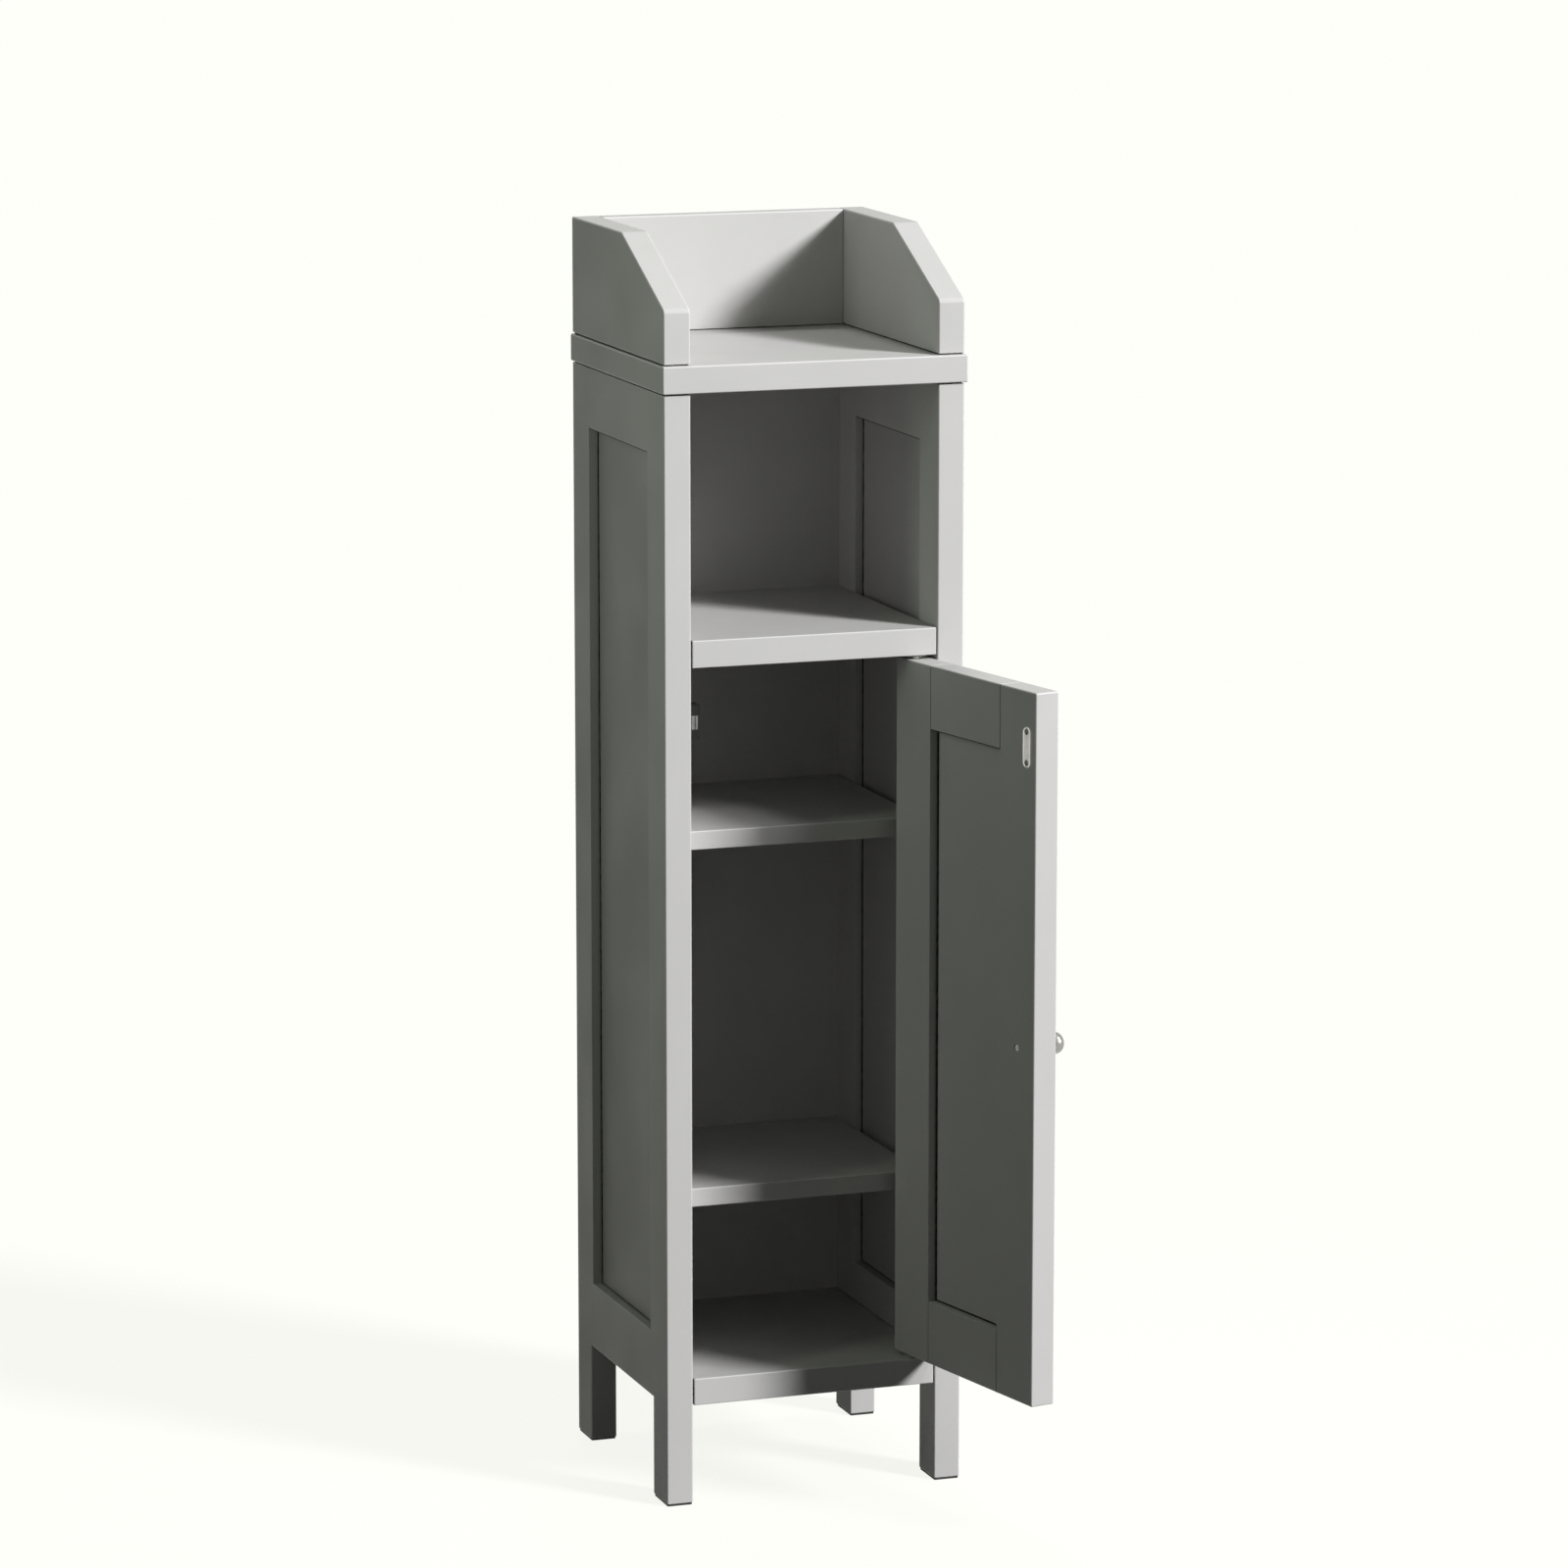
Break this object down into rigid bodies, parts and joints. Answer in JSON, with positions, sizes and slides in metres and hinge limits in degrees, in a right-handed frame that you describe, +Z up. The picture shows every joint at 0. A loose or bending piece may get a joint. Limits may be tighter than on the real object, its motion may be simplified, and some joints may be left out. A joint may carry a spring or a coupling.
{
  "type": "bathroom_floor_cabinet",
  "caption": "Tall narrow painted floor cabinet with a tray-like gallery on top, an open niche and a framed door.",
  "frame": {"origin": "middle of the bounding box's underside, with the door standing open as modelled", "axes": "+Z up, +Y towards the back of the cabinet, +X to the right as seen from the front"},
  "size_m": [0.3334, 0.4899, 1.2],
  "materials": {
    "grey_paint": "satin light grey paint on wood board",
    "satin_nickel": "satin nickel",
    "zinc_steel": "bright zinc",
    "dark_steel": "dark magnet with steel poles",
    "beech_wood": "bare beech",
    "white_nylon": "moulded",
    "dark_plastic": "moulded, dark",
    "dark_rubber": "matt"
  },
  "bodies": {
    "carcass": {"left_front_stile": "grey_paint", "left_rear_stile": "grey_paint", "left_top_rail": "grey_paint", "left_bottom_rail": "grey_paint", "left_side_panel": "grey_paint", "right_front_stile": "grey_paint", "right_rear_stile": "grey_paint", "right_top_rail": "grey_paint", "right_bottom_rail": "grey_paint", "right_side_panel": "grey_paint", "top_board": "grey_paint", "fixed_shelf": "grey_paint", "bottom_board": "grey_paint", "upper_shelf": "grey_paint", "lower_shelf": "grey_paint", "back_panel": "grey_paint", "gallery_left": "grey_paint", "gallery_right": "grey_paint", "gallery_back": "grey_paint", "foot_pads": "dark_rubber", "shelf_pins": "zinc_steel", "frame_dowels": "beech_wood", "gallery_dowels": "beech_wood", "board_bolts": "zinc_steel", "cam_locks": "zinc_steel", "top_screws": "zinc_steel", "gallery_screws": "zinc_steel", "back_screws": "zinc_steel", "lower_bush": "white_nylon", "upper_bush": "white_nylon", "catch_body": "dark_plastic", "catch_magnet": "dark_steel", "catch_poles": "zinc_steel", "catch_screws": "zinc_steel"},
    "door": {"door_hinge_stile": "grey_paint", "door_free_stile": "grey_paint", "door_top_rail": "grey_paint", "door_bottom_rail": "grey_paint", "door_panel": "grey_paint", "door_dowels": "beech_wood", "lower_pivot_pin": "zinc_steel", "upper_pivot_pin": "zinc_steel", "knob": "satin_nickel", "knob_screw": "zinc_steel", "strike_plate": "satin_nickel", "strike_screws": "satin_nickel"}
  },
  "joints": [
    {"name": "door_hinge", "type": "hinge", "parent": "carcass", "child": "door", "pos_m": [0.08826, -0.02241, 0.464], "axis": [0, 0, 1], "range_deg": [-102, 3]}
  ]
}
